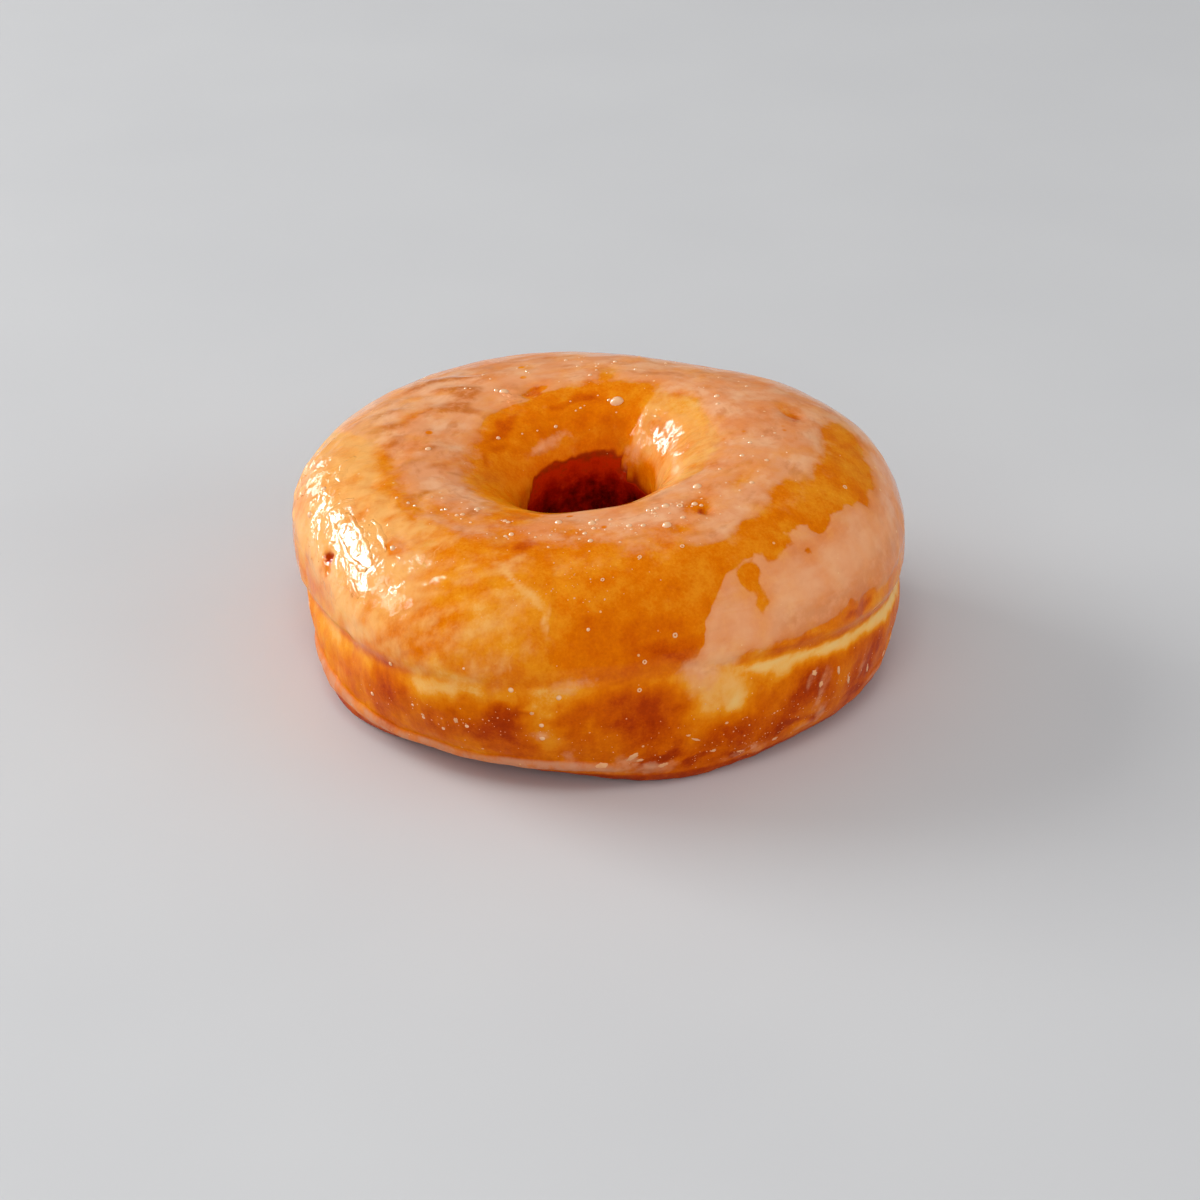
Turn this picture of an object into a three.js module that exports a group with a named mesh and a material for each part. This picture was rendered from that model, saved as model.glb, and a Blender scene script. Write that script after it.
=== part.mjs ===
// A glazed ring doughnut: one fried ring of yeast dough with a flat base, a crease where its two
// fried sides meet, a domed top and a funnel-shaped hole. Millimetres, +Z up, the base on z = 0 and
// the origin at the centre of the base's box. The front of the ring is towards -Y.
import * as THREE from "three";
import { ParametricGeometry } from "three/addons/geometries/ParametricGeometry.js";

// Driving dimensions of the ring's section, measured from the hole's axis.
const WAIST_RADIUS = 48.6; // widest place
const WAIST_HEIGHT = 20;
const CREST_RADIUS = 26; // ring of the highest points
const CREST_HEIGHT = 36;
const THROAT_RADIUS = 10.4; // narrowest place in the hole
const THROAT_HEIGHT = 24.5;
const BASE_OUTER_RADIUS = 39.7; // flat face that the ring rests on
const BASE_INNER_RADIUS = 14;

// How square each quarter of the section is: 2 is an ellipse, more is squarer.
const WALL_SQUARENESS = 2.1;
const DOME_SQUARENESS = 2.15;
const FUNNEL_SQUARENESS = 2;

// Hand-cut dough is uneven. Each wave is [times round the ring, amount, angle of its first peak].
const WAIST_WAVES = [
  [2, 1.6, -46],
  [3, 2.4, 6],
  [5, 0.8, 28],
];
const BASE_WAVES = [
  [1, 1.8, -9],
  [2, 1.4, -24],
  [3, 1.5, -29],
  [4, 1.0, 24],
  [5, 2.1, -7],
  [6, 0.6, -24],
];
const CREST_HEIGHT_WAVES = [[1, 2.7, 0]];
const CREST_RADIUS_WAVES = [[1, 1.1, -123]];
const THROAT_WAVES = [
  [2, 0.4, 40],
  [3, 0.3, -60],
];
const THROAT_HEIGHT_WAVES = [[1, 3.5, 90]];

// The crease: the upper dough swells out over it. It climbs from the left side to the front, and
// it is deep at the two sides and almost filled at the front.
const CREASE_HEIGHT = 16.2;
const CREASE_HEIGHT_WAVES = [
  [1, 3.9, -61],
  [2, 2.1, 84],
];
const CREASE_DEPTH = 0.8;
const CREASE_DEPTH_WAVES = [
  [1, 0.3, 90],
  [2, 0.3, 0],
];
const CREASE_HALF_WIDTH = 1.8;

// Steps of the mesh round the ring, and along each stretch of the section.
const STEPS_AROUND = 84;
const WALL_STEPS = 12;
const DOME_STEPS = 18;
const FUNNEL_STEPS = 12;
const THROAT_STEPS = 8;
const BASE_STEPS = 2;
const CREASE_CROWDING = 1.6; // above 1 draws the steps of the wall and dome towards the crease

const CRUST_COLOUR = 0xc8741f;
const CRUST_ROUGHNESS = 0.35;

// The sum of a list of waves at an angle round the ring.
function waves(list, angle) {
  return list.reduce(
    (sum, [count, amount, peak]) =>
      sum + amount * Math.cos(count * (angle - THREE.MathUtils.degToRad(peak))),
    0,
  );
}

// Sine and cosine of a quarter turn, bent into a superellipse.
function bentSine(share, squareness) {
  return Math.sin((share * Math.PI) / 2) ** (2 / squareness);
}

function bentCosine(share, squareness) {
  return Math.cos((share * Math.PI) / 2) ** (2 / squareness);
}

// The section's sizes at an angle round the ring.
function sectionAt(angle) {
  return {
    waist: WAIST_RADIUS + waves(WAIST_WAVES, angle),
    base: BASE_OUTER_RADIUS + waves(BASE_WAVES, angle),
    crest: CREST_RADIUS + waves(CREST_RADIUS_WAVES, angle),
    height: CREST_HEIGHT + waves(CREST_HEIGHT_WAVES, angle),
    throat: THROAT_RADIUS + waves(THROAT_WAVES, angle),
    throatHeight: THROAT_HEIGHT + waves(THROAT_HEIGHT_WAVES, angle),
    crease: CREASE_HEIGHT + waves(CREASE_HEIGHT_WAVES, angle),
    creaseDepth: CREASE_DEPTH + waves(CREASE_DEPTH_WAVES, angle),
  };
}

// The outside of the section as [radius, height]: turn 0 is the base's edge, 1 the waist and 2
// the crest. The crease is pressed into it.
function outside(s, turn) {
  const lower = turn < 1;
  const across = lower
    ? s.base + (s.waist - s.base) * bentSine(turn, WALL_SQUARENESS)
    : s.crest + (s.waist - s.crest) * bentCosine(turn - 1, DOME_SQUARENESS);
  const height = lower
    ? WAIST_HEIGHT * (1 - bentCosine(turn, WALL_SQUARENESS))
    : WAIST_HEIGHT + (s.height - WAIST_HEIGHT) * bentSine(turn - 1, DOME_SQUARENESS);
  const fromCrease = (height - s.crease) / CREASE_HALF_WIDTH;
  return [across - s.creaseDepth * Math.exp(-(fromCrease ** 2)), height];
}

// The turn at which the outside reaches the crease's height.
function creaseTurn(s) {
  let low = 0;
  let high = 2;
  while (high - low > 1e-6) {
    const middle = (low + high) / 2;
    const below = outside(s, middle)[1] < s.crease;
    low = below ? middle : low;
    high = below ? high : middle;
  }
  return low;
}

// Each stretch of the section gives [radius, height] for a share from 0 to 1 along it.
// Wall, from the base's edge up to the crease.
function wall(s, share) {
  return outside(s, creaseTurn(s) * (1 - (1 - share) ** CREASE_CROWDING));
}

// Dome, from the crease up to the crest.
function dome(s, share) {
  return outside(s, THREE.MathUtils.lerp(creaseTurn(s), 2, share ** CREASE_CROWDING));
}

// Funnel, from the crest down into the hole's throat.
function funnel(s, share) {
  return [
    s.crest - (s.crest - s.throat) * bentSine(share, FUNNEL_SQUARENESS),
    s.throatHeight + (s.height - s.throatHeight) * bentCosine(share, FUNNEL_SQUARENESS),
  ];
}

// Lower half of the hole, from the throat out to the base's inner edge.
function underThroat(s, share) {
  return [
    BASE_INNER_RADIUS - (BASE_INNER_RADIUS - s.throat) * bentCosine(share, FUNNEL_SQUARENESS),
    s.throatHeight * (1 - bentSine(share, FUNNEL_SQUARENESS)),
  ];
}

// Flat base, from its inner edge back to its outer edge.
function base(s, share) {
  return [THREE.MathUtils.lerp(BASE_INNER_RADIUS, s.base, share), 0];
}

const STRETCHES = [
  [wall, WALL_STEPS],
  [dome, DOME_STEPS],
  [funnel, FUNNEL_STEPS],
  [underThroat, THROAT_STEPS],
  [base, BASE_STEPS],
];
const STEPS_ALONG = STRETCHES.reduce((sum, [, steps]) => sum + steps, 0);

// The ring's surface: "around" runs round the hole, and "along" runs round the ring's section.
function ringPoint(around, along, target) {
  const angle = around * 2 * Math.PI;
  let step = along * STEPS_ALONG;
  let index = 0;
  while (index < STRETCHES.length - 1 && step > STRETCHES[index][1]) {
    step -= STRETCHES[index][1];
    index += 1;
  }
  const [stretch, steps] = STRETCHES[index];
  const [radius, height] = stretch(sectionAt(angle), step / steps);
  target.set(radius * Math.cos(angle), radius * Math.sin(angle), height);
}

function makeDoughRing() {
  const geometry = new ParametricGeometry(ringPoint, STEPS_AROUND, STEPS_ALONG);
  geometry.computeBoundingBox();
  const centre = geometry.boundingBox.getCenter(new THREE.Vector3());
  geometry.translate(-centre.x, -centre.y, 0);
  const crust = new THREE.MeshStandardMaterial({
    color: CRUST_COLOUR,
    roughness: CRUST_ROUGHNESS,
    metalness: 0,
  });
  const ring = new THREE.Mesh(geometry, crust);
  ring.name = "dough_ring";
  return ring;
}

const doughnut = new THREE.Group();
doughnut.name = "ring_doughnut";
doughnut.add(makeDoughRing());

export default doughnut;
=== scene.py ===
import functools
import itertools
import math
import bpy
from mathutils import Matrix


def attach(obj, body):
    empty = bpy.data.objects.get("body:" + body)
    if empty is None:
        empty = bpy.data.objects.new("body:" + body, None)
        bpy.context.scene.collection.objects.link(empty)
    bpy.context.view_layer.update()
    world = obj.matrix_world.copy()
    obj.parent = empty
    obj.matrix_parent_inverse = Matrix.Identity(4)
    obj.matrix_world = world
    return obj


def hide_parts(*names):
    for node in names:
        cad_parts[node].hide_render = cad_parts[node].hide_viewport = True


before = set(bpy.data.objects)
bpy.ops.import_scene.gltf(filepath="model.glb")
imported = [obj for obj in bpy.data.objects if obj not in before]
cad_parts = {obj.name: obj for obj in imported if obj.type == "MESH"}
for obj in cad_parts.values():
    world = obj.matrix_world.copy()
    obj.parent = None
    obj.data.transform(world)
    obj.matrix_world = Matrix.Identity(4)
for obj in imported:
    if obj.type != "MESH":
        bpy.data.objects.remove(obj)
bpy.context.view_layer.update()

from types import SimpleNamespace

import bpy
import numpy as np
from mathutils import Vector

# A glazed ring doughnut. The dough is one closed mesh, the milky sugar glaze is a thin shell on it,
# and the glaze's folds, bubbles, grains and flakes are true-size meshes. The ring is worked out in
# millimetres round the hole's axis, in two surface coordinates:
#   angle: degrees round the hole, 0 towards +X and -90 towards the front
#   turn:  0 base's outer edge, 1 waist, 2 crest, 3 throat of the hole, 4 base's inner edge, 5 = 0
NODE = "dough_ring"
MM = 0.001
TAU = 2 * math.pi

# -------------------- the ring's form, as in the CAD

WAIST_RADIUS = 48.6
WAIST_HEIGHT = 20.0
CREST_RADIUS = 26.0
CREST_HEIGHT = 36.0
THROAT_RADIUS = 10.4
THROAT_HEIGHT = 24.5
BASE_OUTER_RADIUS = 39.7
BASE_INNER_RADIUS = 14.0
WALL_SQUARENESS = 2.1
DOME_SQUARENESS = 2.15

# Unevenness: [times round the ring, amount, angle of its first peak].
WAIST_WAVES = [(2, 1.6, -46), (3, 2.4, 6), (5, 0.8, 28)]
BASE_WAVES = [(1, 1.8, -9), (2, 1.4, -24), (3, 1.5, -29), (4, 1.0, 24), (5, 2.1, -7), (6, 0.6, -24)]
CREST_HEIGHT_WAVES = [(1, 2.7, 0)]
CREST_RADIUS_WAVES = [(1, 1.1, -123)]
THROAT_WAVES = [(2, 0.4, 40), (3, 0.3, -60)]
THROAT_HEIGHT_WAVES = [(1, 3.5, 90)]

CREASE_HEIGHT = 16.2
CREASE_HEIGHT_WAVES = [(1, 3.9, -61), (2, 2.1, 84)]
CREASE_DEPTH = 0.8
CREASE_DEPTH_WAVES = [(1, 0.3, 90), (2, 0.3, 0)]
CREASE_ABOVE = 1.0  # the dough swells out fast above the crease, and slowly below it
CREASE_BELOW = 2.6


def waves(table, angle):
    return sum(amount * np.cos(count * (angle - math.radians(peak))) for count, amount, peak in table)


def crease_height(angle):
    return CREASE_HEIGHT + waves(CREASE_HEIGHT_WAVES, angle)


def crease_depth(angle):
    return CREASE_DEPTH + waves(CREASE_DEPTH_WAVES, angle)


def bare_ring(angle, turn):
    """Points of the ring without its relief, for arrays of angles in radians and turns."""
    waist = WAIST_RADIUS + waves(WAIST_WAVES, angle)
    base = BASE_OUTER_RADIUS + waves(BASE_WAVES, angle)
    crest = CREST_RADIUS + waves(CREST_RADIUS_WAVES, angle)
    top = CREST_HEIGHT + waves(CREST_HEIGHT_WAVES, angle)
    throat = THROAT_RADIUS + waves(THROAT_WAVES, angle)
    throat_height = THROAT_HEIGHT + waves(THROAT_HEIGHT_WAVES, angle)

    turn = np.mod(turn, 5)
    stretch = np.minimum(np.floor(turn), 4)
    share = turn - stretch
    sine = np.sin(share * math.pi / 2)
    cosine = np.cos(share * math.pi / 2).clip(0)
    wall_sine, wall_cosine = (v ** (2 / WALL_SQUARENESS) for v in (sine, cosine))
    dome_sine, dome_cosine = (v ** (2 / DOME_SQUARENESS) for v in (sine, cosine))

    on = [stretch == k for k in range(5)]
    radius = np.select(
        on,
        [
            base + (waist - base) * wall_sine,
            crest + (waist - crest) * dome_cosine,
            crest - (crest - throat) * sine,
            BASE_INNER_RADIUS - (BASE_INNER_RADIUS - throat) * cosine,
            BASE_INNER_RADIUS + (base - BASE_INNER_RADIUS) * share,
        ],
    )
    height = np.select(
        on,
        [
            WAIST_HEIGHT * (1 - wall_cosine),
            WAIST_HEIGHT + (top - WAIST_HEIGHT) * dome_sine,
            throat_height + (top - throat_height) * cosine,
            throat_height * (1 - sine),
            0 * share,
        ],
    )
    over_crease = height - crease_height(angle)
    width = np.where(over_crease > 0, CREASE_ABOVE, CREASE_BELOW)
    dent = crease_depth(angle) * np.exp(-((over_crease / width) ** 2))
    radius = radius - np.where(turn < 2, dent, 0)
    return np.stack([radius * np.cos(angle), radius * np.sin(angle), height], axis=-1)


def sampled_ring():
    """The bare ring on a coarse grid, for its box and for the length along its section."""
    angle, turn = np.meshgrid(np.linspace(0, TAU, 361), np.linspace(0, 5, 501), indexing="ij")
    return turn[0], bare_ring(angle, turn)


SAMPLE_TURNS, SAMPLES = sampled_ring()
CENTRE = (SAMPLES.min(axis=(0, 1)) + SAMPLES.max(axis=(0, 1))) / 2 * (1, 1, 0)
STEPS = np.linalg.norm(np.diff(SAMPLES, axis=1), axis=-1).mean(axis=0)
SAMPLE_LENGTHS = np.concatenate([[0], np.cumsum(STEPS)])


def along_of(turn):
    """Millimetres along the mean section from the base's outer edge."""
    return np.interp(turn, SAMPLE_TURNS, SAMPLE_LENGTHS)


def spots_at(angle, turn):
    """Everything that the fields below need to know about places on the bare ring."""
    step = 1e-3
    point = bare_ring(angle, turn)
    around = bare_ring(angle + step, turn) - bare_ring(angle - step, turn)
    upward = bare_ring(angle, turn + step) - bare_ring(angle, turn - step)
    normal = np.cross(around, upward)
    normal /= np.linalg.norm(normal, axis=-1, keepdims=True)
    radius = np.hypot(point[..., 0], point[..., 1])
    return SimpleNamespace(
        angle=angle,
        turn=turn,
        point=point,
        normal=normal,
        radius=radius,
        along=along_of(turn),
        height=point[..., 2],
        over_crease=point[..., 2] - crease_height(angle),
    )


# -------------------- noise and drawing on the ring

LATTICE = 32


@functools.lru_cache(maxsize=None)
def lattice(seed):
    return np.random.default_rng(seed).uniform(-1, 1, (LATTICE,) * 3)


def noise(points, cell, seed):
    """Smooth noise from -1 to 1, with blobs about one cell across. Each use has its own seed."""
    table = lattice(seed)
    scaled = points / cell
    low = np.floor(scaled).astype(int)
    share = scaled - low
    share = share * share * (3 - 2 * share)
    total = 0
    for corner in itertools.product((0, 1), repeat=3):
        weight = np.prod(np.where(corner, share, 1 - share), axis=-1)
        place = (low + corner) % LATTICE
        total = total + weight * table[place[..., 0], place[..., 1], place[..., 2]]
    return total


def layered_noise(points, cell, seed, layers=3):
    """Noise with finer and weaker layers on it."""
    return sum(noise(points, cell / 2**k, seed + k) / 2**k for k in range(layers)) / 1.5


def evened(radius):
    """A radius nearer to the crest's, so that streaks don't crowd together in the hole."""
    return CREST_RADIUS + (radius - CREST_RADIUS) * 0.6


def streaks(at, across_cell, along_cell, seed, slant=0.0):
    """Noise drawn out along the section, for wrinkles; slant leans them round the ring."""
    angle = at.angle + np.radians(slant) * (at.turn - 1)
    ring = evened(at.radius)
    points = [ring * np.cos(angle) / across_cell, ring * np.sin(angle) / across_cell]
    return layered_noise(np.stack([*points, at.along / along_cell], axis=-1), 1.0, seed, 2)


def warped(at, reach, cell, seed):
    """The same places pushed about by noise, so that what is drawn there gets a ragged outline."""
    around = reach * layered_noise(at.point, cell, seed)
    up = reach * layered_noise(at.point, cell, seed + 5)
    moved = {"angle": at.angle + around / at.radius, "along": at.along + up}
    return SimpleNamespace(**{**vars(at), **moved})


def smooth(value, low, high):
    share = ((value - low) / (high - low)).clip(0, 1)
    return share * share * (3 - 2 * share)


def offset_from(at, angle, turn):
    """Millimetres round and along the surface from one place on it."""
    turned = np.mod(at.angle - math.radians(angle) + math.pi, TAU) - math.pi
    return turned * at.radius, at.along - along_of(turn)


def blob(at, angle, turn, wide, tall, lean=0):
    """Millimetres inside (+) or outside (-) an oval with these half sizes."""
    across, up = offset_from(at, angle, turn)
    cosine, sine = math.cos(math.radians(lean)), math.sin(math.radians(lean))
    away = np.hypot((across * cosine + up * sine) / wide, (up * cosine - across * sine) / tall)
    return (1 - away) * min(wide, tall)


def sector(at, start, end):
    """Millimetres inside the stretch between two angles."""
    across, _ = offset_from(at, (start + end) / 2, 1)
    return np.radians((end - start) / 2) * at.radius - np.abs(across)


def band(at, low, high):
    """Millimetres inside the stretch between two turns."""
    return np.minimum(at.along - along_of(low), along_of(high) - at.along)


def above(at, line):
    """Millimetres above a line drawn round the ring through places [angle, turn]."""
    angles, turns = np.transpose(line)
    turn = np.interp(np.degrees(at.angle), angles, turns, period=360)
    return at.along - along_of(turn)


def union(*fields):
    return np.maximum.reduce(fields)


def common(*fields):
    return np.minimum.reduce(fields)


# -------------------- where the glaze is milky

# Lines round the ring: angle in degrees, turn.
CROWN_FOOT = [
    (-180, 1.86), (-152, 1.86), (-134, 1.80), (-122, 1.84), (-110, 1.90), (-98, 1.86), (-88, 1.82),
    (-76, 1.75), (-64, 1.69), (-52, 1.73), (-36, 1.78), (-20, 1.71), (-6, 1.74), (10, 1.66),
    (26, 1.10), (70, 1.06), (120, 1.08), (150, 1.16), (164, 1.70),
]
CROWN_TOP = [
    (-180, 2.32), (-140, 2.30), (-118, 2.22), (-90, 2.30), (-60, 2.26), (-20, 2.22), (58, 2.22),
    (80, 2.14), (100, 2.20), (124, 2.16), (142, 2.20), (160, 2.31),
]
PATCH_TOP = [
    (-74, 1.00), (-70, 1.14), (-68, 1.30), (-65, 1.41), (-61, 1.51), (-57, 1.56), (-48, 1.57),
    (-40, 1.60), (-30, 1.57), (-20, 1.48), (-8, 1.44), (6, 1.54), (20, 1.70), (60, 1.70), (180, 1.2),
]
PATCH_FOOT = [(-180, 1.10), (-72, 1.04), (-63, 1.05), (-50, 1.08), (-34, 1.10), (-22, 1.06), (60, 1.06)]
# Ovals: angle, turn, half width and half height in millimetres, and for some a lean in degrees.
MILKY_SPOTS = [
    (-69.5, 1.00, 2.6, 3.2, 8), (-135, 1.62, 3.4, 1.4, -20), (127, 2.66, 3.0, 1.3),
    (52, 2.80, 0.9, 2.6), (57, 2.86, 0.5, 2.2), (-97.5, 0.76, 1.1, 0.9), (-94, 1.03, 3.0, 0.8, 10),
    (-42.6, 0.67, 0.9, 3.0, -8), (-41.0, 0.48, 1.1, 2.4, -14), (-45.5, 0.81, 0.6, 1.2, -30),
    (-30.5, 0.66, 0.5, 1.8, -10), (-86, 0.44, 5.0, 1.3), (-78, 0.42, 3.4, 1.1, 6),
    (-93, 0.50, 1.2, 2.2, 10), (-83, 0.53, 0.9, 1.4, 40), (-58, 0.38, 3.0, 0.8),
]
CLEAR_SPOTS = [
    (-56.5, 1.46, 1.9, 2.6), (-56.0, 1.34, 0.5, 1.9, -8), (-47.0, 1.57, 3.2, 1.9, 25),
    (-50.0, 1.63, 3.0, 1.2, 20), (-33.0, 1.56, 3.0, 1.7), (-41.5, 1.48, 0.6, 0.5),
    (-18.0, 1.50, 3.2, 1.4, -40), (-112, 1.87, 3.6, 2.0, -20), (-119, 1.82, 2.6, 1.6),
    (-119, 2.12, 4.0, 4.2, 30), (-138, 1.61, 1.3, 1.2), (-155, 1.26, 1.1, 0.9, 30),
    (-154, 1.20, 0.5, 1.2), (-148, 1.84, 3.4, 0.8, -10), (-139, 1.92, 2.4, 0.6),
    (-96, 1.95, 0.9, 0.5), (-66, 1.82, 1.3, 0.6, -20), (-74, 1.78, 0.6, 0.6),
    (-56, 1.94, 2.2, 1.6, 30), (-38, 1.94, 0.7, 0.4), (10, 1.83, 2.2, 0.9, 15),
    (27, 2.30, 2.0, 1.2), (83, 2.06, 1.3, 2.6), (114, 2.12, 2.4, 1.1, 20), (64, 2.18, 2.4, 1.6),
    (39, 2.20, 1.0, 0.6), (152, 1.86, 1.0, 0.5), (74, 1.36, 6.0, 4.0, 15), (96, 1.22, 3.0, 2.4),
    (132, 1.40, 5.0, 2.6, -15), (24, 1.30, 3.0, 4.6, 10),
]


def clear_field(at):
    """Millimetres inside (+) or outside (-) the gaps in the milky glaze."""
    close = warped(at, 1.1, 2.4, 13)
    return union(*[blob(close, *spot) for spot in CLEAR_SPOTS])


def milky_field(at):
    """Millimetres inside (+) or outside (-) the milky glaze."""
    loose = warped(at, 2.6, 6.0, 11)
    close = warped(at, 1.1, 2.4, 13)
    crown = common(above(loose, CROWN_FOOT), -above(loose, CROWN_TOP))
    patch = common(sector(close, -76, 60), above(close, PATCH_FOOT), -above(close, PATCH_TOP))
    spots = union(*[blob(close, *spot) for spot in MILKY_SPOTS])
    return union(common(union(crown, patch), -clear_field(at)), spots)


def softness_field(at):
    """Millimetres over which the milky glaze fades out at its edge."""
    crisp = union(
        common(sector(at, -80, -8), band(at, 1.06, 1.66)),
        common(sector(at, 100, 152), band(at, 1.9, 2.3)),
    )
    hazy = smooth(sector(at, -205, -122), -4, 4)
    crown_foot = smooth(common(sector(at, -124, -66), band(at, 1.5, 2.06)), -2, 3)
    return 1.3 - 0.9 * smooth(crisp, -2, 2) + 1.5 * hazy + 2.6 * crown_foot * (1 - hazy)


def film_field(at):
    """How much thin, crinkled, half-clear film lies on the crust, from 0 to 1."""
    near = warped(at, 2.4, 7.0, 21)
    left = smooth(sector(near, -222, -98), -2, 6) * smooth(band(near, 0.97, 1.86), -3, 5)
    sheet = smooth(sector(near, -222, -134), -8, 8)
    wisps = streaks(warped(at, 2.0, 4.0, 24), 2.6, 7.0, 25, slant=-40)
    left = left * (0.46 + 0.28 * sheet + (0.55 - 0.35 * sheet) * wisps)
    left = left * (1 - smooth(clear_field(at), -0.8, 0.4))
    close = warped(at, 0.8, 2.4, 26)
    fold = union(blob(close, -104, 1.60, 5.2, 0.6, -39), blob(close, -98, 1.40, 0.4, 3.2))
    fold = 0.75 * smooth(fold, -0.5, 0.4)
    funnel = 0.62 * smooth(sector(at, -70, 58), -0.4, 0.6) * smooth(band(near, 2.16, 2.86), -2.5, 2.5)
    crown_edge = 0.2 * smooth(band(near, 1.62, 2.3), -1.5, 2.5)
    under_patch = 0.5 * smooth(blob(near, -68, 0.98, 6, 5), -3, 3)
    back = 0.4 * smooth(sector(near, 10, 150), -4, 4) * smooth(band(near, 0.98, 1.7), -2, 2)
    return union(left, fold, funnel, crown_edge, under_patch, back).clip(0, 1)


def tan_field(at):
    """Where the milky glaze is brownish: streaks on the crown's left side, and low on the right."""
    left = smooth(sector(at, 118, 242), -8, 8) * smooth(band(at, 1.62, 2.4), -3, 3)
    ragged = warped(at, 1.6, 4.0, 23)
    left = left * smooth(streaks(ragged, 2.6, 11, 55, slant=30), -0.05, 0.55)
    right = smooth(sector(ragged, -56, 60), -4, 6) * smooth(band(ragged, 0.9, 1.27), -1.5, 3)
    return union(left, 0.5 * right)


# -------------------- how the crust is browned, and where shade is painted on it

BROWNING = 0.40
# Darker (+) and lighter (-) ovals: angle, turn, half width, half height, amount.
BROWN_SPOTS = [
    (-106, 0.82, 6.5, 4.6, 0.19), (-127, 0.83, 4.5, 4.2, 0.21), (-141, 0.80, 3.4, 3.2, 0.10),
    (-92, 0.82, 5.0, 3.0, 0.07), (-81, 0.88, 6.5, 5.5, 0.19), (-84, 1.22, 9.0, 6.0, 0.15),
    (-75, 1.19, 3.4, 1.8, 0.14), (-72, 1.14, 4.0, 0.6, 0.12), (-66, 1.20, 3.0, 6.0, 0.05),
    (-58, 0.62, 9.0, 4.0, 0.09), (-46, 0.76, 5.5, 3.6, 0.06), (-29, 0.74, 5.5, 4.6, 0.15),
    (-49, 0.50, 3.2, 1.3, 0.22), (-44, 0.44, 2.2, 1.1, 0.24), (-31, 0.48, 4.0, 1.4, 0.22),
    (-76, 0.52, 3.0, 1.1, 0.22), (-70, 0.43, 2.4, 0.8, 0.22), (-62, 0.40, 1.8, 0.8, 0.20),
    (-49, 1.04, 6.0, 0.9, 0.13), (-32, 1.04, 2.8, 1.3, 0.22), (-120, 1.08, 9.0, 0.8, 0.07),
    (-55, 1.89, 0.8, 0.8, 0.33), (-109, 1.86, 2.4, 1.2, 0.17), (-118, 2.10, 3.0, 3.0, 0.09),
    (114, 2.11, 1.9, 1.0, 0.24), (97, 2.32, 3.0, 1.2, 0.15), (138, 2.30, 4.0, 1.0, 0.16),
    (158, 2.45, 3.0, 1.6, 0.11), (172, 2.42, 1.6, 0.8, 0.13), (80, 2.44, 6.0, 4.0, 0.05),
    (112, 2.56, 4.0, 2.0, 0.08), (10, 1.83, 1.8, 0.9, 0.16), (-155, 0.76, 11.0, 6.5, -0.13),
    (-116, 1.00, 5.0, 2.5, -0.22), (-96, 0.98, 5.0, 1.8, -0.14), (28, 2.34, 9.0, 3.0, -0.14),
    (62, 0.70, 9.0, 5.0, 0.16), (105, 0.78, 12.0, 4.0, 0.13), (150, 0.72, 8.0, 5.0, 0.15),
    (14, 0.66, 9.0, 5.0, 0.13),
]
# Line round the ring, angle and turn, below which the hole is painted with shade: deep red going to
# near black.
THROAT_SHADE_EDGE = [
    (-180, 3.14), (-60, 2.95), (20, 3.02), (55, 3.03), (61, 2.88), (80, 2.91), (100, 2.88),
    (124, 2.92), (146, 2.90), (152, 2.98), (158, 3.10),
]


def browning_and_shade_field(at):
    """How brown the crust is, from 0, golden, to 1, dark, with painted shade along the crease, in the
    pit, under the wall's foot and deep in the hole.
    """
    brown_and_shade = BROWNING + 0.08 * layered_noise(at.point, 14, 31) + 0.10 * layered_noise(at.point, 4, 32)
    wall = smooth(-at.over_crease, 1, 6) * (at.turn < 1)
    # Painted shade: the wall is made browner from the front round to the right, the side away from the
    # lamps.
    right = smooth(sector(at, -108, 60), -4, 14)
    blotches = layered_noise(at.point, 5.5, 35)
    brown_and_shade = brown_and_shade + wall * (0.11 + 0.10 * right + 0.14 * streaks(at, 3.5, 9, 34) + 0.14 * blotches)
    near = warped(at, 3.4, 5.0, 33)
    for angle, turn, wide, tall, amount in BROWN_SPOTS:
        inside = blob(near, angle, turn, wide, tall) / min(wide, tall)
        brown_and_shade = brown_and_shade + amount * smooth(inside, -0.45, 0.55)
    # Painted shade: a brown line along the crease under the dome's overhang, weaker at the front.
    front = smooth(sector(at, -112, -62), -4, 6)
    line = np.exp(-((at.over_crease / 0.8) ** 2)) * (at.turn < 1.5)
    brown_and_shade = brown_and_shade + 0.14 * line * (1 - 0.8 * front)
    # Painted shade deep in the hole: below the throat's shade edge the crust is coloured deep red,
    # going to near black with depth, and further down the hole it is browner still.
    throat = smooth(above(warped(at, 1.6, 3.0, 36), THROAT_SHADE_EDGE), -0.7, 1.0)
    throat = throat * smooth(-at.turn, -3.9, -3.5)
    depth = smooth(at.turn, 2.95, 3.15)
    brown_and_shade = brown_and_shade + 0.16 * smooth(at.turn, 3.0, 3.6)
    # Painted shade: the deep dent at -155 degrees is coloured dark red-brown.
    pit = smooth(blob(warped(at, 0.6, 1.5, 37), -155, 1.26, 1.3, 1.2), -0.5, 0.3)
    # Painted shade: the wall's foot, where it curves in under the doughnut, is coloured dark brown.
    under = smooth(-at.turn, -0.42, -0.30)
    return union(brown_and_shade.clip(0, 0.80), (0.88 + 0.11 * depth) * throat, 0.78 * under, 0.87 * pit)


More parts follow.
